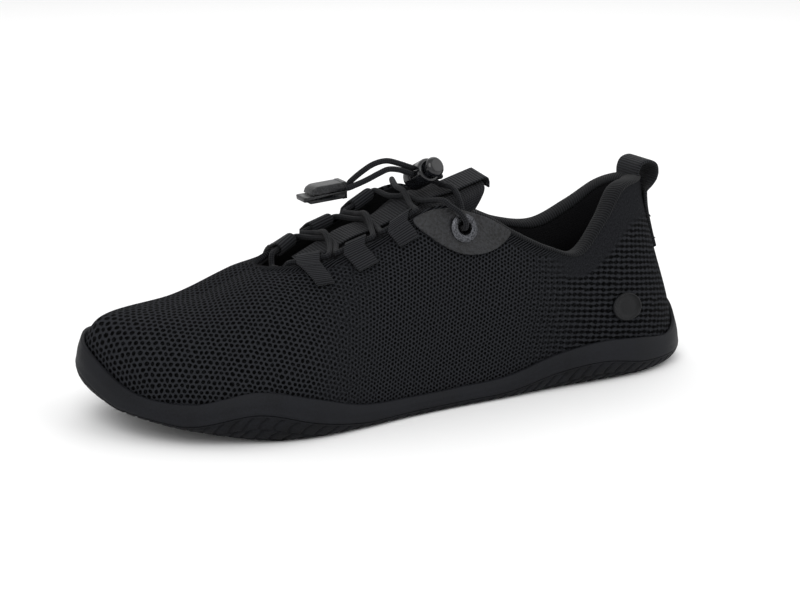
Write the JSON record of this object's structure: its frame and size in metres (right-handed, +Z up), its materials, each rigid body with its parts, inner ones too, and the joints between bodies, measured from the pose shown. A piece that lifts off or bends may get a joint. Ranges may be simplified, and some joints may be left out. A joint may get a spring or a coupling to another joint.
{
  "type": "running shoe",
  "caption": "Low black knit running shoe for the left foot with a cupped rubber sole, elastic lacing through webbing loops and a spring cord lock.",
  "frame": {"origin": "on the floor, under the middle of the shoe's length and width, measured without the lace tails and the cord clip", "axes": "+X from the heel to the toe, +Y to the outer side of the left foot, +Z up"},
  "size_m": [0.285, 0.104, 0.1045],
  "materials": {
    "tread_rubber": "dark slate carbon rubber with overlapping lugs, matt",
    "sidewall_rubber": "dark slate moulded rubber band, smooth satin",
    "board": "pressed fibre and stiffener sheet, matt",
    "insole_foam": "foam sock with a brushed fabric face",
    "knit": "black engineered knit with a scale-like cell, matt",
    "lining": "smooth black jersey lining",
    "padding": "open-cell padding foam",
    "tongue_knit": "padded black knit with fine diamonds",
    "webbing": "ribbed black polyester webbing",
    "patch": "grey-black mottled synthetic leather, satin",
    "badge": "grey-black synthetic leather badge, plain",
    "eyelet_metal": "black plated metal, satin",
    "cord": "round braided elastic cord",
    "lock_plastic": "glossy black moulded plastic",
    "spring_steel": "bright spring wire",
    "clip_plastic": "dark grey moulded plastic, slightly speckled"
  },
  "bodies": {
    "shoe": {"outsole_tread": "tread_rubber", "midsole_cup": "sidewall_rubber", "strobel_board": "board", "insole": "insole_foam", "knit_upper": "knit", "knit_lining": "lining", "heel_counter": "board", "toe_puff": "board", "collar_foam": "padding", "collar_binding": "knit", "tongue": "tongue_knit", "tongue_ribbon": "webbing", "lace_loop_outer_1": "webbing", "lace_loop_outer_2": "webbing", "lace_loop_outer_3": "webbing", "lace_loop_inner_1": "webbing", "lace_loop_inner_2": "webbing", "lace_loop_inner_3": "webbing", "eyelet_patch_outer": "patch", "eyelet_patch_inner": "patch", "eyelet_outer": "eyelet_metal", "eyelet_inner": "eyelet_metal", "eyelet_washer_outer": "eyelet_metal", "eyelet_washer_inner": "eyelet_metal", "heel_badge_outer": "badge", "heel_badge_inner": "badge", "heel_pull_tab": "webbing", "lace": "cord", "lace_tail_outer": "cord", "lace_tail_inner": "cord", "cord_end_lid": "clip_plastic", "cord_end_tray": "clip_plastic"},
    "lock": {"cord_lock_body": "lock_plastic", "cord_lock_spring": "spring_steel"},
    "lock_button": {"cord_lock_plunger": "lock_plastic"}
  },
  "joints": [
    {"name": "lock_slide", "type": "slide", "parent": "shoe", "child": "lock", "axis": [0.9314, 0.0501, 0.3605], "range_m": [0, 0.006]},
    {"name": "lock_press", "type": "slide", "parent": "lock", "child": "lock_button", "axis": [0.2266, -0.8551, -0.4662], "range_m": [0, 0.0024], "stiffness_N_per_m": 400, "springref_m": -0.002, "deforming": ["cord_lock_spring"]}
  ]
}
